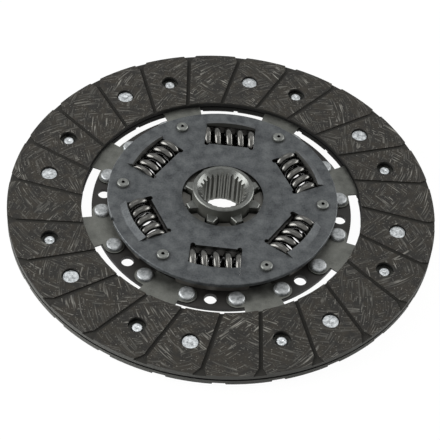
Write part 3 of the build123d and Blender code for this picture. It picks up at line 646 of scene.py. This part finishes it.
springTree = makeSpringTree()
closedRise = springSpec["closedTurns"] * springSpec["closedPitch"]
tipZ = springSpec["tipT"] - springSpec["wireR"]
openRise = springSpec["length"] - 2 * tipZ - 2 * closedRise
openTurns = openRise / springSpec["openPitch"]
turnsInAll = openTurns + 2 * springSpec["closedTurns"]
for k in range(springSpec["count"]):
    angle = math.radians(springSpec["firstAngle"] + 360 / springSpec["count"] * k)
    spring = meshFromTree(f"damperSpring{k + 1}", springTree, {
        "Coil radius": springSpec["coilR"], "Wire radius": springSpec["wireR"],
        "Length": springSpec["length"], "Tip height": tipZ,
        "Closed turns": springSpec["closedTurns"], "Closed rise": closedRise,
        "Open turns": openTurns, "Open rise": openRise,
        "Top turn": springSpec["topTurn"], "Broken edge": springSpec["brokenEdge"],
        "Lit from": springSpec["insideFrom"][0], "Dark from": springSpec["insideFrom"][1],
        "Circle radius": springSpec["circleR"], "Mid height": springSpec["midZ"], "Window angle": angle,
        "Points": int(turnsInAll * springSpec["pointsPerTurn"]), "Wire sides": springSpec["wireSides"],
        "Finish": finishes["oiledSpringWire"]})
    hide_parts(f"damper_spring_{k + 1}")
    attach(spring, "springs")
    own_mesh(spring)
print("damper springs wound:", springSpec["count"])


rivetSpec = {
    "sides": 56, "cornerSteps": 3,
    "turnSpread": 3.1,                          # radians, so that no two rivets catch the light alike
    "cornerShare": 0.45,                        # most of a side that a rounded corner may take
    "weld": 0.0005,                             # mm, closes the seam and the poles
    "sharpBend": 0.6,                           # radians between faces where the shading breaks
    "groups": {
        # half sections as (radius, height, corner radius) in mm, from the top of the axis down
        "stopRivets": {
            "node": "stop_rivets", "slot": "stop_steel", "finish": "upsetSteel", "seed": 3, "hollowR": 0.95,
            "circleR": 53.3, "count": 6, "perGroup": 1, "groupStep": 60.0, "first": 0.0, "spread": 0.0,
            "section": [(0, 17.75, 0), (0.8, 17.85, 0), (0.9, 19.05, 0.2), (2.3, 19.1, 0.5),
                        (3.15, 18.6, 0.5),
                        (3.1, 17.25, 0), (3.6, 15.0, 0), (3.6, 8.05, 0), (3.1, 5.8, 0), (3.15, 4.4, 0.5),
                        (2.3, 3.95, 0.5), (0.9, 4.0, 0.2), (0.8, 5.2, 0), (0, 5.3, 0)],
        },
        "segmentRivets": {
            "node": "segment_rivets", "slot": "rivet_zinc", "finish": "dullZinc", "seed": 11, "hollowR": 0.0,
            "circleR": 64.0, "count": 16, "perGroup": 2, "groupStep": 45.0, "first": 12.0, "spread": 22.0,
            "section": [(0, 10.62, 0), (2.2, 10.7, 0.5), (3.55, 10.62, 0.5), (4.2, 9.9, 0.6),
                        (4.3, 8.7, 0.1),
                        (2.6, 8.65, 0), (2.6, 5.8, 0), (3.9, 5.75, 0.1), (3.85, 5.1, 0.4), (2.7, 4.45, 0.5),
                        (0, 4.4, 0)],
        },
        "frontLiningRivets": {
            "node": "front_lining_rivets", "slot": "rivet_zinc", "finish": "pocketShadedZinc", "seed": 23,
            "hollowR": 0.45, "circleR": 94.5, "count": 8, "perGroup": 1, "groupStep": 45.0, "first": 40.6,
            "spread": 0.0,
            "section": [(0, 10.62, 0), (0.9, 10.66, 0.4), (1.7, 10.9, 0.3), (2.4, 10.86, 0.3),
                        (3.0, 10.93, 0.3),
                        (4.2, 10.86, 0.3), (4.3, 10.07, 0), (2.0, 10.05, 0), (2.0, 8.0, 0), (2.9, 7.98,
                                                                                             0.1),
                        (2.95, 7.3, 0.4), (2.5, 6.85, 0.4), (1.0, 6.87, 0.3), (0.6, 7.2, 0.1), (0, 7.25,
                                                                                                0)],
        },
        "rearLiningRivets": {
            "node": "rear_lining_rivets", "slot": "rivet_zinc", "finish": "zincPlate", "seed": 31,
            "hollowR": 0.45, "circleR": 94.5, "count": 8, "perGroup": 1, "groupStep": 45.0, "first": 23.6,
            "spread": 0.0,
            "section": [(0, 9.45, 0), (0.6, 9.5, 0.1), (1.0, 9.83, 0.3), (2.5, 9.85, 0.4), (2.95, 9.4, 0.4),
                        (2.9, 8.72, 0.1), (2.0, 8.7, 0), (2.0, 7.15, 0), (4.3, 7.13, 0), (4.2, 6.34, 0.3),
                        (3.0, 6.27, 0.3), (2.4, 6.34, 0.3), (1.7, 6.3, 0.3), (0.9, 6.54, 0.4),
                        (0, 6.58, 0)],
        },
    },
}


def roundedSection(section, steps, share):
    # replaces each corner that has a radius by a short curve
    points = []
    for k, (r, z, reach) in enumerate(section):
        corner = Vector((r, z))
        if not reach:
            points.append(corner)
            continue
        before = Vector(section[k - 1][:2])
        after = Vector(section[k + 1][:2])
        into = corner + (before - corner).normalized() * min(reach, (before - corner).length * share)
        out = corner + (after - corner).normalized() * min(reach, (after - corner).length * share)
        for n in range(steps + 1):
            t = n / steps
            points.append(into * (1 - t) ** 2 + corner * 2 * t * (1 - t) + out * t ** 2)
    return [(p.x, 0.0, p.y) for p in points]


def makeRivetTree():
    # turns a half section into a rivet, and sets copies of it round a circle in groups
    tree, given = newTree("turnedRivets", (
        "Circle radius", "First angle", "Group step", "Spread", "Hollow radius", "Turn spread", "Weld",
        "Sharp bend"),
        ("Section points", "Sides", "Count", "Per group", "Seed"))
    rows = addNode(tree, "ShaderNodeMath", {0: given["Sides"], 1: 1.0}, operation="ADD").outputs[0]
    skin = addNode(tree, "GeometryNodeMeshGrid",
                   {"Vertices X": given["Section points"], "Vertices Y": rows})
    index = addNode(tree, "GeometryNodeInputIndex").outputs[0]
    along = addNode(tree, "ShaderNodeMath", {0: index, 1: rows}, operation="DIVIDE").outputs[0]
    along = addNode(tree, "ShaderNodeMath", {0: along}, operation="FLOOR").outputs[0]
    around = addNode(tree, "ShaderNodeMath", {0: index, 1: rows}, operation="MODULO").outputs[0]
    around = addNode(tree, "ShaderNodeMath", {0: around, 1: given["Sides"]}, operation="DIVIDE").outputs[0]
    around = addNode(tree, "ShaderNodeMath", {0: around, 1: 2 * math.pi}, operation="MULTIPLY").outputs[0]
    place = addNode(tree, "GeometryNodeInputPosition").outputs[0]
    picked = addNode(tree, "GeometryNodeSampleIndex", {
        "Geometry": given["Geometry"], "Value": place, "Index": along},
        data_type="FLOAT_VECTOR", domain="POINT").outputs[0]
    turned = addNode(tree, "ShaderNodeVectorRotate", {"Vector": picked, "Angle": around},
                     rotation_type="Z_AXIS")
    shaped = addNode(tree, "GeometryNodeSetPosition",
                     {"Geometry": skin.outputs[0], "Position": turned.outputs[0]})
    closed = addNode(tree, "GeometryNodeMergeByDistance",
                     {"Geometry": shaped.outputs[0], "Distance": given["Weld"]})
    axes = addNode(tree, "ShaderNodeSeparateXYZ", {0: place}).outputs
    flat = addNode(tree, "ShaderNodeCombineXYZ", {0: axes[0], 1: axes[1]}).outputs[0]
    radius = addNode(tree, "ShaderNodeVectorMath", {0: flat}, operation="LENGTH").outputs["Value"]
    # mark the centre hole, which a finish may paint black as shade
    insideShade = addNode(tree, "ShaderNodeMath", {0: radius, 1: given["Hollow radius"]},
                     operation="LESS_THAN").outputs[0]
    marked = addNode(tree, "GeometryNodeStoreNamedAttribute", {
        "Geometry": closed.outputs[0], "Name": "hollowShade", "Value": insideShade}, data_type="FLOAT", domain="POINT")
    bend = addNode(tree, "GeometryNodeInputMeshEdgeAngle").outputs[0]
    gentle = addNode(tree, "ShaderNodeMath", {0: bend, 1: given["Sharp bend"]},
                     operation="LESS_THAN").outputs[0]
    smooth = addNode(tree, "GeometryNodeSetShadeSmooth",
                     {"Geometry": marked.outputs[0], "Shade Smooth": gentle},
                     domain="EDGE")
    # one point for each rivet
    spots = addNode(tree, "GeometryNodeMeshLine", {"Count": given["Count"]})
    groupNo = addNode(tree, "ShaderNodeMath", {0: index, 1: given["Per group"]},
                      operation="DIVIDE").outputs[0]
    groupNo = addNode(tree, "ShaderNodeMath", {0: groupNo}, operation="FLOOR").outputs[0]
    inGroup = addNode(tree, "ShaderNodeMath", {0: index, 1: given["Per group"]},
                      operation="MODULO").outputs[0]
    angle = addNode(tree, "ShaderNodeMath", {0: groupNo, 1: given["Group step"], 2: given["First angle"]},
                    operation="MULTIPLY_ADD").outputs[0]
    angle = addNode(tree, "ShaderNodeMath", {0: inGroup, 1: given["Spread"], 2: angle},
                    operation="MULTIPLY_ADD").outputs[0]
    arm = addNode(tree, "ShaderNodeCombineXYZ", {0: given["Circle radius"]}).outputs[0]
    spot = addNode(tree, "ShaderNodeVectorRotate", {"Vector": arm, "Angle": angle}, rotation_type="Z_AXIS")
    seated = addNode(tree, "GeometryNodeSetPosition",
                     {"Geometry": spots.outputs[0], "Position": spot.outputs[0]})
    spin = addNode(tree, "FunctionNodeRandomValue",
                   {2: 0.0, 3: given["Turn spread"], "Seed": given["Seed"]},
                   data_type="FLOAT").outputs[1]
    facing = addNode(tree, "ShaderNodeCombineXYZ", {2: spin}).outputs[0]
    copies = addNode(tree, "GeometryNodeInstanceOnPoints", {
        "Points": seated.outputs[0], "Instance": smooth.outputs[0], "Rotation": facing})
    small = addNode(tree, "GeometryNodeTransform", {"Geometry": copies.outputs[0], "Scale": (mm, mm, mm)})
    finishTree(tree, small.outputs[0], given["Finish"])
    return tree


rivetTree = makeRivetTree()
for name, group in rivetSpec["groups"].items():
    section = roundedSection(group["section"], rivetSpec["cornerSteps"], rivetSpec["cornerShare"])
    rivets = meshFromTree(name, rivetTree, {
        "Circle radius": group["circleR"], "First angle": math.radians(group["first"]),
        "Group step": math.radians(group["groupStep"]), "Spread": math.radians(group["spread"]),
        "Hollow radius": group["hollowR"], "Turn spread": rivetSpec["turnSpread"],
        "Weld": rivetSpec["weld"], "Sharp bend": rivetSpec["sharpBend"],
        "Section points": len(section), "Sides": rivetSpec["sides"],
        "Count": group["count"], "Per group": group["perGroup"], "Seed": group["seed"],
        "Finish": finishes[group["finish"]]}, section, [(i, i + 1) for i in range(len(section) - 1)])
    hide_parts(group["node"])
    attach(rivets, "plates")
print("rivets set:", len(rivetSpec["groups"]), "groups")
